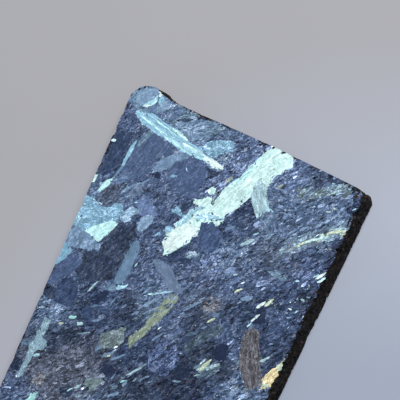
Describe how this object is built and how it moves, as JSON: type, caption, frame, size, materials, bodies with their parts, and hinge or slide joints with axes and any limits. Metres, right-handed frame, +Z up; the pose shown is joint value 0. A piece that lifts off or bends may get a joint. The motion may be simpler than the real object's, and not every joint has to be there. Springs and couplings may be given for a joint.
{
  "type": "nuummite slab",
  "caption": "Thin sawn slab of dark stone with one polished face, a rounded nub at one corner and bright blade-shaped crystals.",
  "frame": {"origin": "centre of the slab's box, on the surface that the slab's back rests on", "axes": "+Z up through the polished face, +Y along the slab to the end with the nub, +X across the slab"},
  "size_m": [0.046, 0.08, 0.005],
  "materials": {
    "stone": "polished face, sawn back and edges"
  },
  "bodies": {
    "root": {"slab": "stone"}
  },
  "joints": []
}
